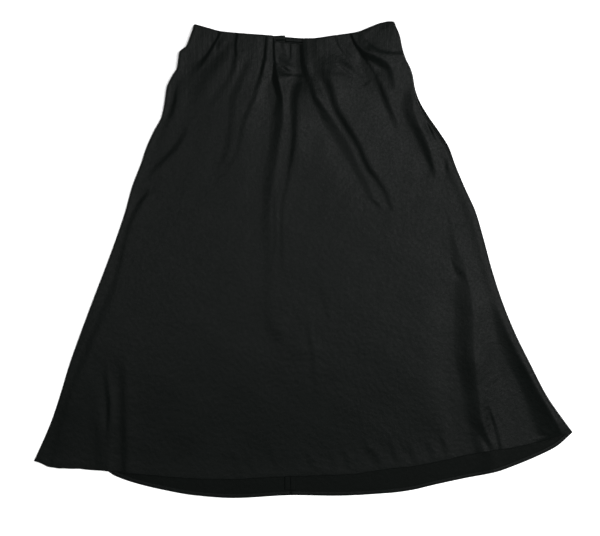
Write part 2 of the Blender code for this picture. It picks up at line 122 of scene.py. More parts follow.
floor_form = bmesh.new()
lowered = Matrix.Translation((0, 0, -FLOOR_GAP))
bmesh.ops.create_grid(floor_form, x_segments=1, y_segments=1, size=FLOOR_SIZE / 2, matrix=lowered)
floor = new_object("floor", floor_form)
floor.data.materials.append(plain_material("pale floor", (FLOOR_GREY,) * 3, FLOOR_ROUGHNESS))
print("floor, m:", FLOOR_SIZE, "square")

# %% Hang the lamps in a dim room
Lamp = namedtuple("Lamp", "name size power place")
LAMPS = [
    Lamp("wide lamp to the right", 1.8, 110.0, (1.15, 0.36, 2.3)),
    Lamp("smaller lamp to the left", 1.2, 23.0, (-0.60, 0.10, 2.3)),
]
ROOM_LIGHT = 0.12
WHITE = (1.0, 1.0, 1.0, 1.0)

for lamp in LAMPS:
    light = bpy.data.lights.new(lamp.name, "AREA")
    light.size = lamp.size
    light.energy = lamp.power
    hung = bpy.data.objects.new(lamp.name, light)
    hung.location = lamp.place
    hung.rotation_euler = (-Vector(lamp.place)).to_track_quat("-Z", "Y").to_euler()
    bpy.context.scene.collection.objects.link(hung)

room = bpy.data.worlds.new("dim room")
room.use_nodes = True
set_inputs(room.node_tree.nodes["Background"], {"Color": WHITE, "Strength": ROOM_LIGHT})
bpy.context.scene.world = room
bpy.context.scene.view_settings.view_transform = "Standard"
print("lamps:", [lamp.name for lamp in LAMPS])

# %% [markdown]
# ## The cut, measured flat
#
# A garment that lies flat is measured like one on a cutting table: down from the waist, and across from
# the middle. Four short tables hold the two side seams, the waist, the front's hem and the back's hem. A
# smooth curve is drawn through each. It is a curve that never swings past its own points, because a
# spline that overshoots would put bumps in a straight seam.

# %% The side seams, in millimetres
LENGTH = 835.0

Section = namedtuple("Section", "down left right")
SIDES = [Section(*row) for row in (
    (0, -189, 158), (26, -198.5, 169), (44, -205.5, 172.5), (54, -217.5, 175), (68, -219.5, 180),
    (82, -221.5, 187), (96, -230, 191.5), (117, -239.5, 195), (138, -242.5, 202), (166, -248, 218),
    (194, -262.5, 237.5), (222, -275, 255), (250, -284.5, 265), (292, -300.5, 282.5),
    (334, -312, 301.5), (376, -326, 314), (432, -346.5, 329), (488, -368, 347), (544, -389, 369.5),
    (600, -409, 397), (656, -426, 426), (698, -440, 455), (734, -455, 482), (770, -471.5, 510),
)]
print("waist, flat, mm:", round(SIDES[0].right - SIDES[0].left))

# %% The waist and the two hems, in millimetres
Edge = namedtuple("Edge", "across down")
WAIST = [Edge(*row) for row in (
    (-192, 5), (-167, 12), (-146, 17.5), (-104, 21.5), (-62, 24.5), (-31, 27.5), (11, 30), (53, 25),
    (95, 18.7), (116, 10.7), (137, 3), (152, 0.2), (160, 0.5),
)]
FRONT_HEM = [Edge(*row) for row in (
    (-471.5, 770), (-440, 782), (-393, 784.5), (-347, 788), (-277, 795), (-183, 802), (-122, 803),
    (-58, 799), (83, 794), (139, 786), (200, 779), (253, 768), (305, 757), (374, 746), (443, 729),
    (473, 718),
)]
BACK_HEM = [Edge(*row) for row in (
    (-471.5, 770), (-440, 779), (-393, 781), (-350, 784.5), (-330, 796), (-297, 808), (-244, 821),
    (-192, 830), (-122, 835), (-16, 830), (53, 831), (152, 826), (187, 821.5), (228, 812), (281, 800.5),
    (337, 789.5), (370, 778), (415, 759), (443, 744.5), (473, 718),
)]
CENTRE_SEAM = (-32.0, -23.0)
PANEL_LENGTH = FRONT_HEM[0].down
print("the left side seam ends, mm down:", PANEL_LENGTH)

# %% Curves through a table


def through(keys, values, at):
    """Reads a smooth curve through the values, which never swings past them between two keys."""
    keys = np.asarray(keys, float)
    values = np.asarray(values, float)
    steps = np.diff(keys)
    slopes = np.diff(values) / steps
    product = slopes[:-1] * slopes[1:]
    same_way = product > 0
    total = np.where(same_way, slopes[:-1] + slopes[1:], 1.0)
    inner = np.where(same_way, 2 * product / total, 0.0)
    tangents = np.concatenate([slopes[:1], inner, slopes[-1:]])
    at = np.clip(at, keys[0], keys[-1])
    cell = np.clip(np.searchsorted(keys, at, side="right") - 1, 0, len(steps) - 1)
    t = (at - keys[cell]) / steps[cell]
    start = (1 + 2 * t) * (1 - t) ** 2 * values[cell] + t * (1 - t) ** 2 * steps[cell] * tangents[cell]
    end = t * t * (3 - 2 * t) * values[cell + 1] - t * t * (1 - t) * steps[cell] * tangents[cell + 1]
    return start + end


def column(table, field):
    return [getattr(row, field) for row in table]


def side_at(side, down):
    """How far across the left or right side seam lies."""
    return through(column(SIDES, "down"), column(SIDES, side), down)


def edge_at(table, across):
    """How far down the waist or a hem lies."""
    return through(column(table, "across"), column(table, "down"), across)


def ease(start, end, at):
    """0 up to the start, 1 from the end on, and a smooth step between them."""
    t = np.clip((at - start) / (end - start), 0, 1)
    return t * t * (3 - 2 * t)


print("length of the front at its middle, mm:", round(float(edge_at(FRONT_HEM, 0) - edge_at(WAIST, 0))))

# %% [markdown]
# ## A flat panel between four edges
#
# Each panel has four curved edges: two sides, the waist and a hem. A rubber sheet stretched over such a
# frame of four wires takes a plain form: blend the two sides, add the blend of the two ends, and take
# away the blend of the four corners, which was counted twice. Every point of the panel then has an
# address, its share across and its share down, and the rows run as the hem does. A plain square grid
# would need no such sum, but its edges would cut across the cloth in steps.

# %% The edges of a panel
MEETING_STEPS = 12


def meeting(side, table):
    """How far down a side seam meets an edge. Each step looks again from the last answer."""
    down = table[0].down
    for _ in range(MEETING_STEPS):
        down = edge_at(table, side_at(side, down))
    return float(down)


def side_curve(side, hem):
    """A side seam from the waist to the hem, as a function of the share of its length."""
    top = meeting(side, WAIST)
    bottom = meeting(side, hem)

    def curve(share):
        down = top + (bottom - top) * share
        return np.stack([side_at(side, down), down], -1)

    return curve


def seam_curve(offset):
    """One side of the centre seam of the back."""
    ends = np.array([[across + offset, 0.0] for across in CENTRE_SEAM])
    ends[0, 1] = edge_at(WAIST, ends[0, 0])
    ends[1, 1] = edge_at(BACK_HEM, ends[1, 0])
    return lambda share: ends[0] + (ends[1] - ends[0]) * np.asarray(share)[..., None]


def edge_curve(table, left, right):
    """A stretch of the waist or a hem between two points, as a function of the share of its width."""

    def curve(share):
        across = left[0] + (right[0] - left[0]) * share
        return np.stack([across, edge_at(table, across)], -1)

    return curve


print("the right seam meets the front's hem at, mm down:", round(meeting("right", FRONT_HEM)))

# %% Cut a panel, and place it in the frame


def cut(left, right, hem, shares_across, shares_down):
    """The flat plan of a panel: a grid of (across, down) points between its four edges."""
    u = shares_across[..., None]
    v = shares_down[..., None]
    top = edge_curve(WAIST, left(np.array(0.0)), right(np.array(0.0)))
    bottom = edge_curve(hem, left(np.array(1.0)), right(np.array(1.0)))
    sides = (1 - u) * left(shares_down) + u * right(shares_down)
    ends = (1 - v) * top(shares_across) + v * bottom(shares_across)
    corners = (1 - u) * ((1 - v) * top(0.0) + v * bottom(0.0)) + u * ((1 - v) * top(1.0) + v * bottom(1.0))
    return sides + ends - corners


def placed(plan, height):
    """Grid points in the skirt's own frame. A high point moves in a little, to stay under its pixel."""
    seen = np.stack([plan[..., 0], LENGTH / 2 - plan[..., 1]], -1)
    nearer = 1 - height[..., None] * MM / camera_height
    flat = VIEW_CENTRE + (seen - VIEW_CENTRE) * nearer
    return np.concatenate([flat, height[..., None]], -1)


# %% [markdown]
# ## Folds
#
# Most folds of a gathered skirt are tucks: the cloth climbs across a narrow band and falls away gently
# on both sides of it, like a low wave. A tuck follows a path. At each point of the path the table gives
# how far the cloth rises above its level on one side and sinks below it on the other, and half the width
# of the band. A crisp tuck breaks sharply at its crest, or at its foot if the number is negative. Its
# fall is how far beyond the band the cloth takes to come halfway back to its level. The cloth climbs
# towards the left of someone who walks along the path, so a path that runs down the skirt has its crest
# on the right of the picture. A swell is a rounded ridge, or a hollow if its rise is negative. The larger
# its flat number, the flatter its top.
#
# Cloth simulation could make such folds, but not these ones in these places, so they are listed one by one.

# %% Follow a path
PATH_STEP = 5.0

Tuck = namedtuple("Tuck", "name crisp fall path")
Swell = namedtuple("Swell", "name flat path")


def path_points(fold):
    """Points along a fold's smooth path, each with its rise and its width."""
    rows = np.array(fold.path, float)
    lengths = np.hypot(*np.diff(rows[:, :2], axis=0).T)
    along = np.concatenate([[0], np.cumsum(lengths)])
    at = np.linspace(0, along[-1], int(along[-1] / PATH_STEP) + 2)
    return np.stack([through(along, values, at) for values in rows.T], -1)


def near_path(points, x, y):
    """How far from a path, with and without a sign for the side, and the nearest rise and width."""
    nearest = np.full(x.shape, np.inf)
    signed, rise, width = (np.zeros(x.shape) for _ in range(3))
    for a, b in zip(points[:-1], points[1:]):
        run = b - a
        length = np.hypot(run[0], run[1])
        away_x = x - a[0]
        away_y = y - a[1]
        t = np.clip((away_x * run[0] + away_y * run[1]) / length**2, 0, 1)
        distance = np.hypot(away_x - t * run[0], away_y - t * run[1])
        side = np.sign(run[0] * away_y - run[1] * away_x)
        closer = distance < nearest
        nearest = np.where(closer, distance, nearest)
        signed = np.where(closer, side * distance, signed)
        rise = np.where(closer, a[2] + t * run[2], rise)
        width = np.where(closer, a[3] + t * run[3], width)
    return nearest, signed, rise, width


# %% Press a fold into a grid
REACH = 3.0
BREAK = 1.4
BELL = 2


def tuck_height(tuck, nearest, signed, rise, width):
    """The cloth sinks before the band, climbs across it, and levels off on both sides."""
    share = np.clip((signed / width + 1) / 2, 0, 1)
    soft = share * share * (3 - 2 * share)
    broken = share**BREAK if tuck.crisp > 0 else 1 - (1 - share) ** BREAK
    climb = soft + abs(tuck.crisp) * (broken - soft)
    beyond = np.maximum(nearest - width, 0) / tuck.fall
    at_break = signed * tuck.crisp > 0
    level = 0.5 ** (beyond ** np.where(at_break, BELL - abs(tuck.crisp), BELL))
    return rise * (2 * climb - 1) * level


def swell_height(swell, nearest, rise, width):
    return rise * 0.5 ** ((nearest / width) ** swell.flat)


def relief(folds, x, y):
    """The height of all the folds together. Each is worked out only near its own path."""
    total = np.zeros(x.shape)
    for fold in folds:
        points = path_points(fold)
        is_tuck = isinstance(fold, Tuck)
        margin = points[:, 3].max() + REACH * (fold.fall if is_tuck else points[:, 3].max())
        low = points[:, :2].min(0) - margin
        high = points[:, :2].max(0) + margin
        near = (x > low[0]) & (x < high[0]) & (y > low[1]) & (y < high[1])
        nearest, signed, rise, width = near_path(points, x[near], y[near])
        if is_tuck:
            total[near] += tuck_height(fold, nearest, signed, rise, width)
        else:
            total[near] += swell_height(fold, nearest, rise, width)
    return total


trial = Tuck("trial", 0, 16, [(0, 50, 1, 4), (0, -50, 1, 4)])
trial_height = relief([trial], np.linspace(-40, 40, 9), np.zeros(9))
print("a tuck of 1 mm that runs down, from left to right:", trial_height.round(1))

# %% [markdown]
# ## The front's folds
#
# They fan out from the elastic. The deepest ones stand beside the middle, where the front is drawn in
# like a box pleat and its waist hangs a little lower, in a recess. Lower down the skirt is smooth, until
# the bias makes it flute near both ends of the hem. Each point of a path is (across, up, rise, half
# width), in millimetres from the middle of the skirt.
#
# Broad low tucks, named slope, drape or calm, only tilt the cloth between the sharp ones. They matter as
# much: on satin a tilt of one degree is already a shade darker or lighter.

# %% Gathers left of the middle
LEFT_FOLDS = [
    Tuck("gather_1", 0.5, 16, [
        (-143, 402, 0.8, 1.6), (-152, 385, 1.3, 1.7), (-163, 366, 1.6, 2), (-172, 352, 1.3, 3),
        (-181, 342, 1.1, 5), (-192, 329, 0.5, 7), (-202, 315, 0, 7),
    ]),
    Tuck("gather_2", 0.4, 20, [
        (-114, 402, 0.9, 1.5), (-117, 388, 1.4, 1.6), (-119, 373, 1.3, 2.2), (-118.5, 358, 1.5, 3.2),
        (-120.5, 345, 1.3, 4.6), (-124, 332, 1.1, 5), (-129, 318, 0.7, 5.5), (-140, 302, 0.6, 6),
        (-155, 282, 0.5, 7), (-170, 262, 0.3, 8), (-180, 240, 0, 8),
    ]),
    Tuck("gather_2_drape", 0.1, 20, [
        (-124, 382, 0, 6), (-133, 369, 1, 8), (-146, 351, 1.3, 11), (-160, 332, 1.3, 13),
        (-173, 314, 1.1, 13), (-184, 293, 0.7, 12), (-196, 262, 0, 11),
    ]),
    Tuck("gather_3", 0.2, 22, [
        (-95, 352, 0, 6), (-100, 338, 1, 7), (-109, 318, 1.2, 7.5), (-117, 300, 1.3, 8),
        (-124, 279, 1.1, 8), (-126, 255, 1, 7.5), (-129, 225, 0.9, 7), (-133, 200, 0.9, 7),
        (-139, 180, 0.8, 7), (-149, 160, 0.4, 7), (-160, 140, 0, 7),
    ]),
    Tuck("gather_4", 0.4, 17, [
        (-64, 400, 0.3, 1.5), (-66, 376, 1.4, 1.7), (-67.5, 354, 2.1, 2.2), (-72, 334, 2.1, 3.2),
        (-76.5, 316, 1.9, 4.6), (-82.5, 298, 1.1, 5), (-89, 278, 0.9, 5), (-96, 262, 0.85, 5),
        (-102, 248, 0.8, 5), (-107, 232, 0.8, 5), (-112, 205, 0.55, 5), (-117, 185, 0.45, 5),
        (-129, 165, 0.45, 5), (-145, 145, 0.4, 5), (-156, 130, 0, 5),
    ]),
    Tuck("left_hip", 0, 10, [
        (-219, 318, 0, 4), (-222, 300, 0.5, 4.5), (-224.5, 280, 1.1, 5), (-230, 260, 1.2, 6),
        (-242, 232, 0.7, 7.5), (-252, 208, 0.4, 8), (-258, 192, 0, 8),
    ]),
    Tuck("left_drape", 0.2, 12, [
        (-202, 238, 0, 5), (-210, 218, 0.7, 5.5), (-221, 200, 0.9, 6), (-233, 186, 1, 6), (-248, 171, 1, 6),
        (-264, 153, 0.5, 6), (-276, 138, 0, 6),
    ]),
    Tuck("left_side", -0.3, 14, [
        (-268, 125, 0, 4), (-279, 108, 0.9, 5), (-290, 92, 1, 6), (-304, 62, 1, 6), (-314, 30, 1, 6),
        (-320, 0, 0.8, 6), (-327, -30, 0.6, 7), (-341, -70, 0.8, 9), (-355, -104, 0.9, 9),
        (-370, -135, 1.1, 9.5), (-383, -165, 1.2, 10), (-394, -190, 1.3, 10), (-406, -217, 1.3, 10),
        (-416, -246, 1.2, 10), (-426, -280, 1.1, 10), (-433, -315, 0.9, 10), (-438, -345, 0.6, 9),
    ]),
    Tuck("gather_1_low", 0, 12, [(-146, 388, 0, 4), (-146, 378, 1, 5), (-150, 366, 0, 5)]),
    Tuck("waist_slope", 0, 12, [
        (-92, 402, 0, 13), (-90, 385, 0.6, 14), (-89, 350, 1, 14), (-92, 315, 1.2, 14), (-98, 288, 0.8, 14),
        (-104, 262, 0, 13),
    ]),
]
print("folds left of the middle:", len(LEFT_FOLDS))

# %% The pleat beside the middle
MIDDLE_FOLDS = [
    Tuck("left_pleat", 0.8, 28, [
        (-52, 396, 1.8, 1.5), (-52, 362, 2.6, 1.7), (-51, 345, 3.2, 2.2), (-50.5, 330, 4.4, 3.8),
        (-50, 312, 6.4, 6.8), (-46.7, 295, 6.5, 8), (-44.7, 280, 5.7, 9), (-45.7, 262, 4.4, 9.8),
        (-47, 240, 3.2, 10.5), (-50.5, 212, 2.6, 9.4), (-53.5, 190, 2.3, 9.2), (-59, 160, 2.1, 10),
        (-62.5, 138, 1.9, 9.5), (-64.5, 120, 1.85, 9.2), (-66, 95, 1.5, 8.5), (-67, 70, 1.2, 8.5),
        (-66, 40, 1.1, 10.5), (-62, 0, 0.8, 10), (-64, -45, 0.6, 8), (-67, -80, 0.6, 7),
        (-64, -105, 0.7, 7.5), (-58, -122, 0.8, 8), (-47, -134, 0.7, 7), (-30, -141, 0, 6),
    ]),
    Tuck("centre_trough", 0.2, 20, [
        (-5, 326, 0, 8), (-10, 312, 1.8, 10), (-15, 298, 2.8, 11), (-17, 280, 3, 9.4), (-16.5, 262, 2.6, 8),
        (-16, 242, 2.3, 7), (-16.5, 220, 2.1, 6.6), (-18, 198, 2, 6.4), (-21.5, 176, 1.5, 5.4),
        (-25.5, 150, 0.9, 4.2), (-31, 122, 0.5, 3.6), (-37, 95, 0.4, 2.6), (-39, 50, 0.45, 2.2),
        (-38, 0, 0.4, 2.2), (-38, -30, 0, 3),
    ]),
    Swell("recess", 5, [(-27, 405, -4, 26), (-27, 350, -4.2, 26), (-27, 316, -1, 24)]),
    Tuck("recess_line", 0, 6, [
        (-23, 384, 0, 1.2), (-22.5, 372, 0.9, 1.3), (-22, 358, 0.7, 1.5), (-23, 345, 0, 2),
    ]),
    Tuck("recess_crease_1", 0, 7, [(-42, 384, 0, 2), (-35, 370, 0.8, 2.5), (-28, 358, 0, 3)]),
    Tuck("recess_crease_2", 0.3, 8, [
        (-46, 352, 0, 2), (-40, 343, 1.2, 2.2), (-33, 336, 1.7, 2.4), (-27, 331, 1.2, 2.6),
        (-20, 328, 0, 3),
    ]),
    Tuck("elastic_line", 0, 6, [
        (2, 320, 0, 1.3), (-4, 321, 0.4, 1.2), (-14, 322, 0.6, 1.2), (-28, 322.5, 0.55, 1.2),
        (-40, 324, 0, 1.2),
    ]),
    Tuck("right_pleat", 0.6, 20, [
        (-4, 396, 1.5, 2.8), (-4, 370, 1.8, 3.2), (-2.8, 350, 2.1, 4.6), (2, 330, 2.4, 6.2),
        (8, 312, 2.6, 7), (15, 295, 2.8, 6.4), (21, 280, 2.9, 6), (32, 261, 3, 7.8), (43.5, 240, 3, 9.4),
        (56, 221, 2.6, 9.2), (68.5, 201, 2.2, 9), (80, 182, 1.8, 8), (90, 161, 1.55, 7),
        (100, 143, 1.4, 6.2), (106.5, 131, 1.2, 6), (112.5, 118, 0.95, 5.4), (118, 106, 0.7, 2.8),
        (128, 97, 0.7, 1.8), (140, 85, 0, 1.8),
    ]),
    Tuck("middle_slope", 0, 18, [
        (8, 334, 0, 18), (5, 310, 2.6, 20), (2, 285, 4.2, 21), (5, 262, 2.6, 22), (9, 238, 0, 20),
    ]),
    Tuck("fine_ridge", 0, 5, [
        (-52, 120, 0, 1.5), (-51, 90, 0.35, 1.6), (-50, 40, 0.35, 1.6), (-49, 0, 0, 1.6),
    ]),
    Tuck("middle_calm", 0, 14, [
        (14, 266, 0, 16), (17, 242, 0.9, 18), (24, 215, 0.9, 18), (34, 186, 0, 16),
    ]),
]
print("folds at the middle:", len(MIDDLE_FOLDS))

# %% Gathers right of the middle
RIGHT_FOLDS = [
    Tuck("gather_5", 0.2, 20, [
        (15, 392, 0, 5), (18, 372, 0.8, 6), (21, 354, 0.9, 9), (25, 340, 1.9, 10.5), (33, 322, 3.4, 11),
        (42, 307, 4.3, 10), (50, 284, 3.5, 8.4), (55.5, 268, 2.6, 7.2), (64.5, 251, 2.6, 7),
        (73.5, 236, 2.8, 7), (86.5, 215, 2.3, 6.5), (97, 197, 2.1, 6), (106.5, 175, 2, 5.7),
        (115.5, 157, 2, 5.4), (127, 142, 1.5, 5), (136.5, 128, 1.3, 4.8), (145, 113, 1.1, 4.6),
        (150.5, 96, 0.8, 4.2), (156, 82, 0, 4),
    ]),
    Tuck("gather_6", 0.3, 8, [
        (57, 385, 0.4, 1.5), (63, 372, 0.8, 1.7), (73, 357, 0.9, 1.9), (82, 345, 0.7, 2), (88, 336, 0, 2),
    ]),
    Tuck("gather_6_faint", 0.3, 9, [
        (67, 376, 0, 2), (76, 364, 0.9, 3), (85, 354, 0.9, 3.5), (93, 345, 0, 3),
    ]),
    Tuck("gather_6_low", 0.3, 8, [
        (60, 342, 0, 2), (70, 334, 0.9, 2.2), (82, 325, 0.7, 2.4), (92, 317, 0, 3),
    ]),
    Tuck("gather_7", 0.6, 26, [
        (79, 404, 1, 1.5), (84, 391, 2, 1.8), (92, 375, 2.5, 2.8), (103, 362, 3.2, 4.8),
        (118, 353, 3.8, 7.4), (135, 343, 4.1, 9), (147, 332, 3.2, 8), (152.5, 318, 2, 5.6),
        (156, 302, 0.8, 4.4), (157, 290, 0, 4),
    ]),
    Tuck("gather_8", 0.4, 18, [
        (98, 364, 0, 2.5), (106, 352, 2.2, 4.7), (114, 337, 2.9, 5.7), (124, 320, 2.8, 6.2),
        (131, 308, 2.7, 6.3), (139, 290, 2.4, 6), (145, 273, 2, 6), (152, 256, 1.8, 5.8),
        (160, 236, 0.8, 5.5), (168, 215, 0, 5),
    ]),
    Tuck("casing_crease", 0, 12, [
        (184, 360, 0, 1.4), (178, 361, 0.4, 1.4), (168, 361, 0.7, 1.5), (152, 361, 0.7, 1.5),
        (136, 364, 0.7, 1.5), (122, 371, 0.7, 1.5), (112, 381, 0.6, 1.4), (104, 392, 0, 1.3),
    ]),
    Tuck("right_hip", 0.6, 16, [
        (180, 300, 0, 5), (182, 285, 1.3, 7.5), (183.5, 262, 2.6, 9.5), (189, 245, 2.8, 9),
        (196, 230, 3, 8.4), (204, 214, 3.2, 8.6), (210, 200, 3.2, 8.4), (217.5, 180, 2.7, 7),
        (224, 162, 1.8, 4.6), (229, 143, 0, 3),
    ]),
    Tuck("right_hip_dent", 0.3, 7, [(249, 178, 0, 3), (251, 162, 1, 3), (253, 146, 0, 3)]),
    Tuck("right_hip_slope", 0, 14, [
        (163, 296, 0, 14), (167, 262, 1.5, 16), (177, 232, 1.5, 16), (193, 198, 1.3, 16), (207, 165, 0, 14),
    ]),
    Tuck("right_edge_line", 0, 5, [
        (208, 258, 0, 2), (216, 244, 0.9, 2.1), (222, 230, 1.5, 2.3), (229, 214, 0.7, 2.1),
        (235, 204, 0, 2),
    ]),
    Swell("corner_lift", 2, [
        (100, 410, 0, 18), (116, 404, 2, 20), (140, 402, 2.4, 20), (176, 402, 2.2, 20),
    ]),
]
print("folds right of the middle:", len(RIGHT_FOLDS))

# %% Flutes towards both ends of the hem
LEFT_FLUTES = [
    Tuck("left_flute_line", 0.6, 10, [
        (-350, -185, 0, 1.6), (-347, -205, 0.7, 1.7), (-344, -228, 1.2, 1.8), (-341.5, -245, 2, 1.9),
        (-341, -268, 2.1, 2), (-341, -285, 1.4, 2.1), (-342, -300, 0.7, 2.4), (-343, -330, 0.5, 3),
        (-346, -385, 0.5, 3),
    ]),
    Tuck("left_flute_outer", 0, 14, [
        (-358, -225, 0, 10), (-360, -280, 1, 13), (-362, -330, 1.6, 14), (-362, -395, 1.8, 14),
    ]),
    Tuck("left_flute_inner", 0.3, 12, [
        (-318, -165, 0, 7), (-318, -200, 0.8, 7), (-317, -240, 1.2, 7.5), (-316, -280, 1.5, 7.5),
        (-316, -320, 1.7, 7), (-316, -395, 1.7, 6.5),
    ]),
]
RIGHT_FLUTES = [
    Tuck("right_flute", 0.6, 28, [
        (255, 75, 0, 5), (259, 40, 0.525, 6), (264, 15, 0.945, 7.5), (270, -8, 1.365, 9),
        (276, -30, 1.68, 10.5), (278, -60, 2.835, 14), (280.5, -100, 4.7, 16.5), (280.5, -150, 4.83, 17),
        (284.5, -200, 4.935, 17.5), (294, -250, 4.305, 14), (297.5, -263, 3.885, 13),
        (302.5, -281, 3.36, 11.5), (310, -298, 2.625, 8.5), (321, -316, 1.89, 5), (331, -332, 1.365, 3),
        (340, -345, 1.05, 2.5),
    ]),
    Tuck("right_flute_inner", 0, 16, [
        (268, -235, 0, 10), (277, -262, 1.3, 11), (286, -285, 1.9, 12), (294, -305, 2.4, 13),
        (302, -330, 2.7, 14), (308, -350, 2, 12), (312, -375, 0.8, 10),
    ]),
    Tuck("right_flute_dent", 0, 6, [
        (259, -5, 0, 1.3), (268, -17, 1.2, 1.5), (280, -28, 1, 1.5), (288, -36, 0, 1.8),
    ]),
    Tuck("right_flute_crease", 0.5, 7, [
        (325, -250, 0, 1.8), (328, -268, 1.1, 2), (333, -285, 1.4, 2.2), (337, -303, 1.4, 2.2),
        (342, -322, 1.2, 2.2), (347, -340, 1, 2.2),
    ]),
    Tuck("right_flute_faint", 0, 6, [(340, -258, 0, 1.5), (343, -275, 0.6, 1.6), (346, -290, 0, 2)]),
    Tuck("right_side", 0.8, 28, [
        (326, -75, 0, 6), (335, -100, 1.1, 8.5), (343, -125, 2, 11), (353, -150, 2.9, 13),
        (367, -178, 3.7, 13.5), (377.5, -200, 4.9, 15.6), (388.5, -225, 5.2, 16.8), (402, -250, 5.8, 18.5),
        (415, -275, 5.9, 19), (426, -300, 5.9, 21.5), (434, -316, 5, 20),
    ]),
]
print("folds in the flutes:", len(LEFT_FLUTES), "and", len(RIGHT_FLUTES))

# %% Small creases, and the lifts that carry the right flute
CREASES = [
    Tuck("curl_crease", 0, 8, [
        (6, -112, 0, 1.8), (8, -128, 0.35, 1.8), (9, -143, 0.45, 1.9), (14, -157, 0.45, 1.8),
        (15.5, -175, 0.35, 1.8), (17, -205, 0.25, 2), (22, -250, 0, 2),
    ]),
    Tuck("curl_shade", 0, 12, [(24, -35, 0, 5), (32, -60, 0.25, 5), (40, -90, 0.3, 5), (43, -112, 0, 5)]),
    Tuck("hem_crease", 0, 8, [
        (104, -316, 0, 1.5), (112, -334, 0.8, 1.6), (124, -346, 0.8, 1.6), (138, -354, 0, 1.6),
    ]),
    Tuck("right_spot", 0, 9, [
        (335, -148, 0, 7), (344, -179, 0.6, 8), (352, -205, 0.5, 8), (360, -235, 0, 8),
    ]),
    Tuck("right_flute_glint", 0, 6, [(298, -309, 0, 1.8), (284, -293, 0.4, 2), (270, -277, 0, 1.8)]),
    Tuck("low_crease", 0, 8, [
        (-34, -171, 0, 1.6), (-5, -170, 0.35, 1.8), (30, -171, 0.35, 1.8), (60, -172, 0, 1.6),
    ]),
    Tuck("corner_crease_1", 0, 6, [(430, -308, 0, 2), (415, -311, 0.8, 2.4), (400, -312, 0, 2)]),
    Tuck("corner_crease_2", 0, 6, [(432, -298, 0, 2), (426, -299, 0.5, 2), (420, -300, 0, 2)]),
]
LIFTS = [
    Swell("right_flute_lift", 2, [
        (258, 45, 0, 30), (268, -40, 1, 40), (280, -120, 1.7, 45), (290, -210, 2.3, 45),
        (300, -270, 2.9, 40), (312, -320, 3.3, 34), (322, -350, 2.9, 30), (328, -375, 1.6, 28),
    ]),
    Tuck("right_low", 0, 30, [
        (326, -170, 0, 20), (341, -200, 0.9, 24), (347, -225, 1.1, 30), (356, -270, 2, 34),
        (362, -315, 2.4, 36), (368, -350, 2, 30),
    ]),
    Swell("right_side_lift", 2, [
        (380, -205, 0, 28), (398, -238, 1.2, 30), (412, -262, 2.8, 32), (430, -295, 4.2, 36),
        (442, -318, 3.9, 32),
    ]),
]
print("small creases:", len(CREASES), "lifts:", len(LIFTS))

# %% Puckers along the hem, and rims at the side seams
PUCKER_PLACES = [
    (-195, -370), (-182, -355), (-120, -352), (-92, -362), (-55, -347), (12, -355), (50, -350), (75, -352),
    (128, -350), (158, -342), (190, -342), (222, -335), (246, -325),
]
RIGHT_RIM_START = 11


def pucker(x, y):
    """A short slanting pull in the cloth, such as the stitches of a bias hem make."""
    return Tuck(f"pucker_{x}", 0, 6, [(x - 7, y + 20, 0, 3), (x, y, 0.6, 3.6), (x + 5, y - 18, 0, 3)])


def rim(side, inset, rise, width, rows):
    """The low rounded edge that the turned allowances give to a side seam."""
    path = [(getattr(row, side) + inset, LENGTH / 2 - row.down, rise, width) for row in rows]
    return Swell(f"{side}_rim", 2, path)


PUCKERS = [pucker(x, y) for x, y in PUCKER_PLACES]
RIMS = [
    rim("left", inset=1.5, rise=1.6, width=7.5, rows=SIDES),
    rim("right", inset=-9.0, rise=1.2, width=8.0, rows=SIDES[RIGHT_RIM_START:]),
]
HEM_FOLDS = LEFT_FLUTES + RIGHT_FLUTES + CREASES + LIFTS + PUCKERS
FRONT_FOLDS = LEFT_FOLDS + MIDDLE_FOLDS + RIGHT_FOLDS + HEM_FOLDS + RIMS
steepest = max(FRONT_FOLDS, key=lambda fold: max(rise / width for _, _, rise, width in fold.path))
print("folds in the front:", len(FRONT_FOLDS), "steepest:", steepest.name)

# %% [markdown]
# ## The back's folds
#
# The elastic gathers the back as well. Its gathers are rounder and lower, because the front lies on them.
# Nothing of them shows from above but the wave of the hem, so a few plain swells are enough.

# %% Swells of the back
BACK_FOLDS = [
    Swell("back_gather_1", 2, [(-140, 395, 1.6, 11), (-150, 340, 2.2, 13), (-166, 250, 0, 16)]),
    Swell("back_gather_2", 2, [(-92, 390, 1.6, 10), (-98, 330, 2.4, 13), (-112, 220, 0, 17)]),
    Swell("back_gather_3", 2, [(52, 388, 1.6, 10), (60, 330, 2.4, 13), (84, 230, 0, 17)]),
    Swell("back_gather_4", 2, [(112, 396, 1.6, 11), (124, 340, 2.2, 13), (150, 240, 0, 16)]),
    Swell("back_hem_wave", 2, [(318, -250, 0, 12), (330, -330, 2.2, 12), (334, -390, 3, 13)]),
    Swell("back_hem_lift", 2, [(-150, -300, 0, 24), (-170, -370, 1.2, 28), (-178, -430, 1.8, 34)]),
]
print("folds in the back:", len(BACK_FOLDS))

# %% [markdown]
# ## Cloth
#
# A sheet of cloth is a fine grid laid through the points, with its thickness given last. The real crepe
# is about 0.4 mm thick. The wall here is a little more, so that an edge still shows. A raw edge would
# fray, so a maker turns it over and stitches it down. It could be a strip of its own. Here the grid is
# simply carried on round the turn, which keeps the edge closed and shows the satin's bright face on the
# inside of a hem, as on the real skirt.

# %% Lay a sheet
WALL = 0.6


def upward_normals(points):
    """The normal at each point of a grid whose rows run down the skirt."""
    normals = np.cross(np.gradient(points, axis=0), np.gradient(points, axis=1))
    return normals / np.linalg.norm(normals, axis=-1, keepdims=True)


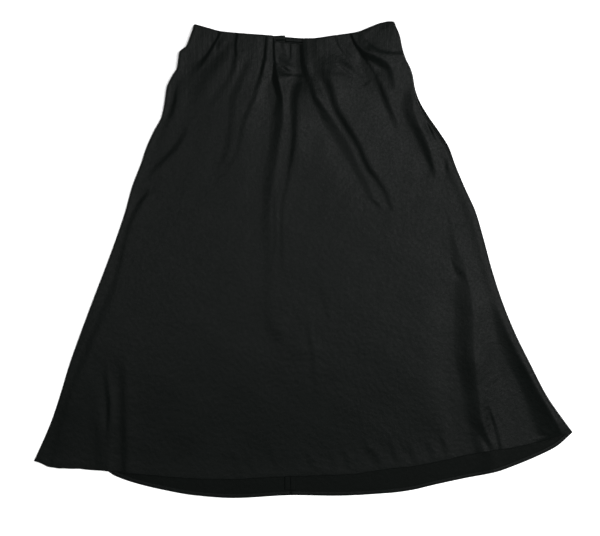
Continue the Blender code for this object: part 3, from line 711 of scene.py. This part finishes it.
def sheet(name, points, wall, below, above):
    """A grid laid through the points, with its wall above them and a finish for each of its sides."""
    rows, columns = points.shape[:2]
    form = bmesh.new()
    bmesh.ops.create_grid(form, x_segments=columns - 1, y_segments=rows - 1, size=1.0)
    # The operator makes its rows from -Y to +Y, so the row at the hem comes first.
    for vert, point in zip(form.verts, (points[::-1] * MM).reshape(-1, 3)):
        vert.co = point
    laid = new_object(name, form)
    laid.data.shade_smooth()
    laid.data.materials.append(above)
    laid.data.materials.append(below)
    thickness = laid.modifiers.new("cloth", "SOLIDIFY")
    thickness.thickness = wall * MM
    thickness.offset = 1.0
    thickness.material_offset = 1
    return laid


# %% Turn an edge
TURN_STEPS = 5
TURN_ROWS = 3


def turned(points, edge, over, radius, reach):
    """A grid with its first or last row turned over: round a small roll, and back along the cloth."""
    inner = points[edge + 2] if edge == 0 else points[edge - 2]
    inwards = inner - points[edge]
    inwards /= np.linalg.norm(inwards, axis=-1, keepdims=True)
    side = upward_normals(points)[edge] * over
    outer = radius if over > 0 else radius + WALL
    points = points.copy()
    points[edge] += inwards * outer
    centre = points[edge] + side * radius
    angles = np.linspace(0, np.pi, TURN_STEPS + 1)[1:]
    rows = [centre - radius * (side * np.cos(angle) + inwards * np.sin(angle)) for angle in angles]
    rows += [rows[-1] + inwards * step for step in np.linspace(0, reach, TURN_ROWS + 1)[1:]]
    return np.concatenate([rows[::-1], points] if edge == 0 else [points, rows])


print("rows in a turned edge:", TURN_STEPS + TURN_ROWS)

# %% [markdown]
# ## The finish
#
# Crepe is woven from hard-twisted yarns that pull the cloth into fine pebbles, too small to see one by
# one. They scatter the light, so the satin has a soft lustre and no mirror. The yarns run along the bias.
# Wider crinkles and flecks keep the lustre from looking like paint. Near the waist the elastic also draws
# the cloth into gathers too fine to model, which run down from it. The black has a faint cool tint, as a
# black dye often has. The inside of a satin is its dull side. Its black is also a little darker: partly
# the duller face, and partly painted shade for the strip of the back that lies in the front hem's shade.
#
# A picture of cloth would bring its own light and shade along. So the finish is made of noise at six
# sizes: it tilts the surface a little and varies its gloss, and the lamps do the rest.

# %% Shader maths as plain expressions


class Socket:
    """A socket of a node tree, with the operators that the materials use."""

    def __init__(self, tree, socket):
        self.tree = tree
        self.socket = socket

    def math(self, operation, first, second):
        return node(self.tree, "ShaderNodeMath", {"operation": operation}, {0: first, 1: second})

    def __add__(self, other):
        return self.math("ADD", self, other)

    def __radd__(self, other):
        return self.math("ADD", other, self)

    def __sub__(self, other):
        return self.math("SUBTRACT", self, other)

    def __rsub__(self, other):
        return self.math("SUBTRACT", other, self)

    def __mul__(self, other):
        return self.math("MULTIPLY", self, other)

    def __rmul__(self, other):
        return self.math("MULTIPLY", other, self)


def node(tree, kind, settings, inputs, output=0):
    """Adds a node with its settings and inputs, and returns one of its outputs."""
    made = tree.nodes.new(kind)
    for name, value in settings.items():
        setattr(made, name, value)
    for key, value in inputs.items():
        if isinstance(value, Socket):
            tree.links.new(value.socket, made.inputs[key])
        else:
            made.inputs[key].default_value = value
    return Socket(tree, made.outputs[output])


# %% Mottling of the cloth, with its grain size in millimetres
BIAS = np.radians(45.0)
YARN_STRETCH = 0.25
GATHER_STRETCH = 0.12
METRE = 1000

Mottle = namedtuple("Mottle", "size detail")
PEBBLES = Mottle(1.3, 2.0)
YARNS = Mottle(0.9, 1.0)
FLECKS = Mottle(4.0, 2.0)
GATHERS = Mottle(5.5, 2.0)
CRINKLES = Mottle(8.0, 3.0)
CLOUDS = Mottle(70.0, 3.0)
MEAN = 0.5


def laid_out(tree, place, turn=0.0, stretch=1.0):
    """The place on the cloth, turned and then drawn out along the second axis."""
    inputs = {"Vector": place, "Rotation": (0, 0, turn), "Scale": (1.0, stretch, 1.0)}
    return node(tree, "ShaderNodeMapping", {}, inputs)


def mottled(tree, place, mottle):
    """Smooth random patches of about one size, around a mean of a half."""
    scale = METRE / mottle.size
    return node(tree, "ShaderNodeTexNoise", {}, {"Vector": place, "Scale": scale, "Detail": mottle.detail})


print("grain of the cloth, mm:", YARNS.size, "to", CLOUDS.size)

# %% Crepe satin
PEBBLE_SHARE, YARN_SHARE = 0.6, 0.4
CLOUD_SHARE, GRAIN_SHARE = 0.5, 0.5
DARKEST, LIGHTEST = 0.6, 1.4
CLOUD_ROUGHNESS, GRAIN_ROUGHNESS, FLECK_ROUGHNESS = 0.12, 0.3, 0.4
GRAIN_DEPTH, CRINKLE_DEPTH, GATHER_DEPTH = 0.22, 0.5, 0.75
GATHERS_START, GATHERS_FULL = 0.20, 0.40
SHEEN, SHEEN_ROUGHNESS = 0.02, 0.5


def crepe(name, colour, roughness, lustre):
    """Black crepe satin: fine pebbles and yarns along the bias, under a faintly uneven lustre."""
    material = bpy.data.materials.new(name)
    material.use_nodes = True
    tree = material.node_tree
    shader = tree.nodes["Principled BSDF"]
    set_inputs(shader, {"Specular IOR Level": lustre})
    set_inputs(shader, {"Sheen Weight": SHEEN, "Sheen Roughness": SHEEN_ROUGHNESS})

    place = node(tree, "ShaderNodeTexCoord", {}, {}, "Object")
    on_bias = laid_out(tree, place, turn=BIAS)
    pebbles = mottled(tree, place, PEBBLES)
    yarns = mottled(tree, laid_out(tree, on_bias, stretch=YARN_STRETCH), YARNS)
    flecks = mottled(tree, place, FLECKS)
    clouds = mottled(tree, place, CLOUDS)
    crinkles = mottled(tree, on_bias, CRINKLES)
    gathers = mottled(tree, laid_out(tree, place, stretch=GATHER_STRETCH), GATHERS)
    up = node(tree, "ShaderNodeSeparateXYZ", {}, {"Vector": place}, "Y")
    to_waist = {"Value": up, "From Min": GATHERS_START, "From Max": GATHERS_FULL}
    near_waist = node(tree, "ShaderNodeMapRange", {}, to_waist)

    grain = pebbles * PEBBLE_SHARE + yarns * YARN_SHARE
    darker, lighter = ((*(tone * c for c in colour), 1.0) for tone in (DARKEST, LIGHTEST))
    mixed = {"Factor": clouds * CLOUD_SHARE + grain * GRAIN_SHARE, "A": darker, "B": lighter}
    shade = node(tree, "ShaderNodeMix", {"data_type": "RGBA"}, mixed, "Result")
    tree.links.new(shade.socket, shader.inputs["Base Color"])
    uneven = (clouds - MEAN) * CLOUD_ROUGHNESS + (grain - MEAN) * GRAIN_ROUGHNESS
    rough = roughness + uneven + (flecks - MEAN) * FLECK_ROUGHNESS
    tree.links.new(rough.socket, shader.inputs["Roughness"])
    height = grain * GRAIN_DEPTH + crinkles * CRINKLE_DEPTH + gathers * near_waist * GATHER_DEPTH
    bump = node(tree, "ShaderNodeBump", {}, {"Height": height, "Distance": MM})
    tree.links.new(bump.socket, shader.inputs["Normal"])
    return material


BLACK = (0.0017, 0.0024, 0.0021)
# The inside's black is a little darker than the face: partly its duller weave, and partly painted shade for
# the strip of the back below the front's hem.
DULL_AND_SHADED_BLACK = (0.0016, 0.0022, 0.0019)
satin = crepe("black crepe satin", BLACK, roughness=0.40, lustre=0.035)
satin_inside = crepe("dull side of the satin with painted shade", DULL_AND_SHADED_BLACK, roughness=0.50, lustre=0.020)
print("materials:", satin.name, "and", satin_inside.name)

# %% [markdown]
# ## The front
#
# The front lies on the back and, at the waist, on the two casings of the elastic. So its height is a
# stack: what is under it, a little air, and its folds. It may press flat but never sinks into what is
# under it, and it bridges the low waves of the back instead of following them. Towards the side seams it
# rolls down to the back, where the two are sewn together.
#
# The turned waist and casing lift it most at the top, and that lift fades over a long way, so that the
# cloth below the elastic doesn't tilt. Bias cloth also never lies quite flat. A few waves of a tenth of
# a millimetre, leaning across the grain, are enough to show it.

# %% What the front has to clear
BACK_TOP = 1.2
SEAM_GAP = 0.3
CASING = 2.0
CASING_DEPTH = 50.0
CLEARANCE = 0.5
WAIST_STACK = 2 * CASING + 2 * SEAM_GAP + CLEARANCE
SOFTNESS = 0.8


def above(height):
    """The height, kept above nought by a soft corner."""
    return (height + np.hypot(height, SOFTNESS)) / 2


def back_relief(x, y):
    return np.maximum(relief(BACK_FOLDS, x, y), 0)


print("casings under the front, mm:", round(WAIST_STACK, 1))

# %% Low waves of bias cloth
WAVER_BEND = 0.6
BEND_LENGTH = 2.7

Waver = namedtuple("Waver", "height length lean start")
WAVERS = [
    Waver(0.15, 118.0, 38.0, 0.4),
    Waver(0.11, 83.0, -47.0, 2.1),
    Waver(0.08, 57.0, 61.0, 4.0),
    Waver(0.07, 39.0, -22.0, 1.2),
]


def unevenness(x, y):
    """A few low waves of different lengths that lean across the grain and bend a little."""
    total = np.zeros(x.shape)
    for waver in WAVERS:
        lean = np.radians(waver.lean)
        along = (x * np.cos(lean) + y * np.sin(lean)) / waver.length
        across = (y * np.cos(lean) - x * np.sin(lean)) / (BEND_LENGTH * waver.length)
        bend = WAVER_BEND * np.sin(2 * np.pi * across)
        total += waver.height * np.sin(2 * np.pi * along + bend + waver.start)
    return total


print("unevenness, mm either way:", round(sum(waver.height for waver in WAVERS), 2))

# %% Rows and columns of the front
FINE_ROW = 3.0
WIDE_ROW = 9.0
FINE_REACH = 330.0
HEM_ROWS = (10.0, 8.0, 6.5, 5.0, 3.5, 1.8, 0.0)
EDGE_STEPS = (0.0, 0.3, 1.0, 2.0, 3.0, 4.0, 6.0)
FRONT_COLUMNS = 240
HEM_CROWDING = 0.06


def down_shares(fine, wide):
    """The rows of a panel, as shares of its length: close ones by the waist, wide ones, and the hem's."""
    upper = np.arange(0, FINE_REACH, fine)
    lower = np.arange(FINE_REACH, PANEL_LENGTH - HEM_ROWS[0] - wide / 2, wide)
    return np.concatenate([upper, lower, PANEL_LENGTH - np.array(HEM_ROWS)]) / PANEL_LENGTH


def front_grid():
    """The shares across and down of the front's grid, with close columns at its sides."""
    down = down_shares(FINE_ROW, WIDE_ROW)
    left = side_curve("left", FRONT_HEM)(down)
    right = side_curve("right", FRONT_HEM)(down)
    widths = right[:, 0] - left[:, 0]
    even = np.linspace(0, 1, FRONT_COLUMNS + 1)[1:-1]
    rows = []
    for share, width in zip(down, widths):
        edge = np.array(EDGE_STEPS) / width
        crowded = even - HEM_CROWDING * share * np.sin(2 * np.pi * even)
        inner = edge[-1] + (1 - 2 * edge[-1]) * crowded
        rows.append(np.concatenate([edge, inner, 1 - edge[::-1]]))
    across = np.array(rows)
    return across, np.broadcast_to(down[:, None], across.shape)


print("rows and columns of the front:", front_grid()[0].shape)

# %% Cut the front
FRONT_INSET = 1.2
HEM_RIPPLE = 0.6
HEM_RIPPLE_REACH = 22.0
SHORT_RIPPLE, LONG_RIPPLE, RIPPLE_DRIFT = 4.3, 9.7, 23
LONG_RIPPLE_SHARE = 0.8

Recess = namedtuple("Recess", "left right drop lip fade")
RECESS = Recess(left=-52.0, right=0.0, drop=9.5, lip=5.0, fade=90.0)
HipTuck = namedtuple("HipTuck", "down reach depth share")
HIP_TUCK = HipTuck(down=190.0, reach=55.0, depth=7.0, share=0.9)


def hem_ripple(x):
    """A stitched bias hem stretches a little unevenly as it is sewn, so its edge runs in small waves."""
    short = np.sin(x / SHORT_RIPPLE + 2 * np.sin(x / RIPPLE_DRIFT))
    return HEM_RIPPLE * (short + LONG_RIPPLE_SHARE * np.sin(x / LONG_RIPPLE + 1)) / 2


def front_plan():
    """The front's flat plan: drawn in at the middle of its waist, and tucked under at the right hip."""
    across, down = front_grid()
    plan = cut(side_curve("left", FRONT_HEM), side_curve("right", FRONT_HEM), FRONT_HEM, across, down)
    depth = down * PANEL_LENGTH
    x = plan[..., 0]
    half_lip = RECESS.lip / 2
    inside = ease(RECESS.left - half_lip, RECESS.left + half_lip, x)
    inside = inside - ease(RECESS.right - half_lip, RECESS.right + half_lip, x)
    plan[..., 1] += RECESS.drop * inside * (1 - ease(0, RECESS.fade, depth))
    tuck = HIP_TUCK.depth * np.exp(-(((plan[..., 1] - HIP_TUCK.down) / HIP_TUCK.reach) ** 2))
    plan[..., 0] -= tuck * ease(HIP_TUCK.share, 1, across)
    plan[..., 0] += FRONT_INSET * (1 - 2 * across)
    plan[..., 1] += hem_ripple(x) * (1 - ease(0, HEM_RIPPLE_REACH, depth[-1, 0] - depth))
    return plan, depth


print("the recess at the waist, mm wide:", RECESS.right - RECESS.left)

# %% Lay the front over the back and the casings
CASING_EASE = 220.0
WAIST_LOFT = 5.0
BODY_LOFT = 4.0
HEM_LOFT = 0.3
HEM_EASE = 240.0
SIDE_ROLL = 0.7
SIDE_LOFT = {"left": 1.0, "right": 0.8}
SIDE_EASE = {"left": 18.0, "right": 90.0}
HEM_STACK = 0.6
HEM_STACK_EASE = 30.0


def front_points():
    """The underside of the front, over the back and, at the waist, over both casings."""
    plan, depth = front_plan()
    x = plan[..., 0]
    y = LENGTH / 2 - plan[..., 1]
    band = 1 - ease(CASING_DEPTH, CASING_DEPTH + CASING_EASE, depth)
    loft = BODY_LOFT + (WAIST_LOFT - BODY_LOFT) * band
    to_hem = depth[-1, 0] - depth
    loft = HEM_LOFT + (loft - HEM_LOFT) * ease(0, HEM_EASE, to_hem)
    sides = {"left": x - x[:, :1], "right": x[:, -1:] - x}
    for side, to_side in sides.items():
        loft = loft * (SIDE_LOFT[side] + (1 - SIDE_LOFT[side]) * ease(0, SIDE_EASE[side], to_side))
    to_side = np.minimum(*sides.values())
    back = back_relief(x, y)
    height = band * WAIST_STACK + above(loft + relief(FRONT_FOLDS, x, y) + unevenness(x, y) - back)
    inwards = np.clip(to_side / SIDE_ROLL, 0, 1)
    roll = np.sqrt(1 - (1 - inwards) ** 2)
    under = BACK_TOP + SEAM_GAP + HEM_STACK * (1 - ease(0, HEM_STACK_EASE, to_hem))
    return placed(plan, back + under + height * roll)


front_at = front_points()
print("highest point of the front's inside, mm:", round(float(front_at[..., 2].max()), 1))

# %% Turn the hem and the waist of the front
HEM_TURN = 6.5
FRONT_HEM_ROLL = 0.12
WAIST_TURN = 6.0
FRONT_WAIST_ROLL = 1.25

front_cloth = turned(front_at, -1, -1, FRONT_HEM_ROLL, HEM_TURN)
front_cloth = turned(front_cloth, 0, -1, FRONT_WAIST_ROLL, WAIST_TURN)
front = sheet("front", front_cloth, WALL, satin_inside, satin)
print("front, with its turned edges, rows and columns:", front_cloth.shape[:2])

# %% [markdown]
# ## The back
#
# The back is cut in two halves, with a seam down its middle. It lies flat on the floor and shows only as
# a strip below the front's hem, and in the notch at the middle of the waist. What shows is its inside.
#
# One wide sheet with a drawn line could stand for it. Two halves are as quick to lay, and then the seam is
# a real one, with its allowances pressed open on the inside and a step where it meets the waist.

# %% Lay the two halves of the back
BACK_COLUMNS = 90
BACK_FINE_ROW = 5.0
BACK_WIDE_ROW = 9.0
BACK_DROP = 1.0
SEAM_PEAK = {"left": 2.5, "right": 0.0}
SEAM_PEAK_SHARE = 0.14
SEAM_AIR = 0.02
BACK_HEM_ROLL = 0.65
BACK_WAIST_ROLL = 2.05


def back_plan(half):
    """The flat plan of one half of the back. The two meet at the seam down the middle."""
    shares = np.linspace(0, 1, BACK_COLUMNS + 1)
    across, down = np.meshgrid(shares, down_shares(BACK_FINE_ROW, BACK_WIDE_ROW))
    if half == "left":
        plan = cut(side_curve("left", BACK_HEM), seam_curve(-SEAM_AIR / 2), BACK_HEM, across, down)
        to_seam = 1 - across
    else:
        plan = cut(seam_curve(SEAM_AIR / 2), side_curve("right", BACK_HEM), BACK_HEM, across, down)
        to_seam = across
    at_waist = 1 - ease(0, CASING_DEPTH, down * PANEL_LENGTH)
    peak = SEAM_PEAK[half] * (1 - ease(0, SEAM_PEAK_SHARE, to_seam))
    plan[..., 1] += (BACK_DROP - peak) * at_waist
    return plan


def on_back(plan, lift):
    """Grid points a little above the underside of the back."""
    return placed(plan, back_relief(plan[..., 0], LENGTH / 2 - plan[..., 1]) + lift)


backs = {}
plans = {}
for half in ("left", "right"):
    plans[half] = back_plan(half)
    cloth = turned(on_back(plans[half], 0.0), -1, 1, BACK_HEM_ROLL, HEM_TURN)
    cloth = turned(cloth, 0, 1, BACK_WAIST_ROLL, WAIST_TURN)
    backs[half] = sheet(f"back_{half}", cloth, WALL, satin, satin_inside)
print("back halves:", [back.name for back in backs.values()])

# %% Press the seam allowances open
ALLOWANCE = (0.0, 2.5, 5.0, 7.5, 10.0)
ALLOWANCE_AIR = 0.05
ALLOWANCE_END = 1


def allowance(name, half, column, way):
    """A strip of seam allowance on the inside of the back, along the first or last column of its plan."""
    down = down_shares(BACK_FINE_ROW, BACK_WIDE_ROW) * PANEL_LENGTH
    clear = (down > CASING_DEPTH) & (down < PANEL_LENGTH - HEM_TURN - ALLOWANCE_END)
    steps = sorted(way * step for step in ALLOWANCE)
    strip = plans[half][clear, column][:, None] + np.array([[step, 0.0] for step in steps])
    return sheet(name, on_back(strip, WALL + ALLOWANCE_AIR), WALL, satin, satin_inside)


allowances = {
    "left": [
        allowance("allowance_side_left", "left", column=0, way=1),
        allowance("allowance_seam_left", "left", column=-1, way=-1),
    ],
    "right": [
        allowance("allowance_seam_right", "right", column=0, way=1),
        allowance("allowance_side_right", "right", column=-1, way=-1),
    ],
}
print("seam allowances:", sum(len(strips) for strips in allowances.values()))

# %% [markdown]
# ## The casings
#
# The elastic runs in a casing turned in at the waist, 50 mm deep. It follows the cloth that it is sewn
# to, gathers and all, where a plain band would cut through them. So each casing is laid through points of
# its panel, moved inwards by the gap at the seam and by its own thickness.

# %% Lay the casings
ELASTIC = 1.9
EVERY = 2
CASING_INSET = 2


def down_to(points, depth):
    """How many rows of a grid lie within a depth of its first one, at its middle column."""
    middle = points[:, points.shape[1] // 2]
    return int(np.sum(np.linalg.norm(middle - middle[0], axis=-1) <= depth))


front_rows = slice(1, down_to(front_at, CASING_DEPTH), EVERY)
inside_sides = slice(len(EDGE_STEPS) - 1, 1 - len(EDGE_STEPS), EVERY)
lifted = front_at - upward_normals(front_at) * (SEAM_GAP + ELASTIC)
casing_front = sheet("casing_front", lifted[front_rows, inside_sides], ELASTIC, satin, satin)
casings = {}
for half, plan in plans.items():
    raised = on_back(plan, BACK_TOP + SEAM_GAP)
    rows = slice(1, down_to(raised, CASING_DEPTH))
    clear_of_side = slice(CASING_INSET, None) if half == "left" else slice(0, -CASING_INSET)
    casings[half] = sheet(f"casing_back_{half}", raised[rows, clear_of_side], ELASTIC, satin, satin)
print("casings:", [casing.name for casing in (casing_front, *casings.values())])

# %% [markdown]
# ## The stitches of the hems
#
# A lockstitch sinks into the cloth between its holes, so each stitch is a small bead, longer than it is
# wide, on a line that keeps its distance from the edge. The thread is as black as the cloth. A bump in
# the material would do from afar, but beads catch the light from every side for twenty faces each.

# %% Sew the hems
STITCH = 3.2
STITCH_LENGTH = 2.3
THREAD = 0.3
STITCH_ROW = -4
BEAD_FACES = 20


def stitches(name, line):
    """Beads of thread, evenly spaced along a line of points."""
    lengths = np.linalg.norm(np.diff(line, axis=0), axis=-1)
    along = np.concatenate([[0], np.cumsum(lengths)])
    form = bmesh.new()
    size = Matrix.Diagonal((STITCH_LENGTH / 2 * MM, THREAD / 2 * MM, THREAD / 2 * MM, 1.0))
    for at in np.arange(STITCH, along[-1] - STITCH, STITCH):
        start, end = (
            Vector([np.interp(at + reach, along, values) for values in line.T]) * MM
            for reach in (-STITCH / 2, STITCH / 2)
        )
        turn = (end - start).to_track_quat("X", "Z").to_matrix().to_4x4()
        place = Matrix.Translation((start + end) / 2)
        bmesh.ops.create_icosphere(form, subdivisions=1, radius=1.0, matrix=place @ turn @ size)
    sewn = new_object(name, form)
    sewn.data.shade_smooth()
    sewn.data.materials.append(satin)
    return sewn


hem_line = (front_at + upward_normals(front_at) * WALL)[STITCH_ROW]
front_stitches = stitches("stitches_front", hem_line)
back_stitches = {}
for half, plan in plans.items():
    hem_line = on_back(plan, 2 * BACK_HEM_ROLL)[STITCH_ROW]
    back_stitches[half] = stitches(f"stitches_back_{half}", hem_line)
print("stitches in the front's hem:", len(front_stitches.data.polygons) // BEAD_FACES)

# %% [markdown]
# ## Telling the frame which body each piece rides on
#
# Each shell stands for one solid, which is hidden, and rides on the one body of the skirt. The elastic
# draws 0.47 m of cloth at the waist in to 0.36 m.


def declare(piece, solid, with_pieces=()):
    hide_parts(solid)
    for part in (piece, *with_pieces):
        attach(part, "root")


declare(front, "front_panel", [front_stitches])
for half, back in backs.items():
    sewn_on = [*allowances[half], back_stitches[half]]
    declare(back, f"back_panel_{half}", sewn_on)
    declare(casings[half], f"back_casing_{half}")
declare(casing_front, "front_casing")
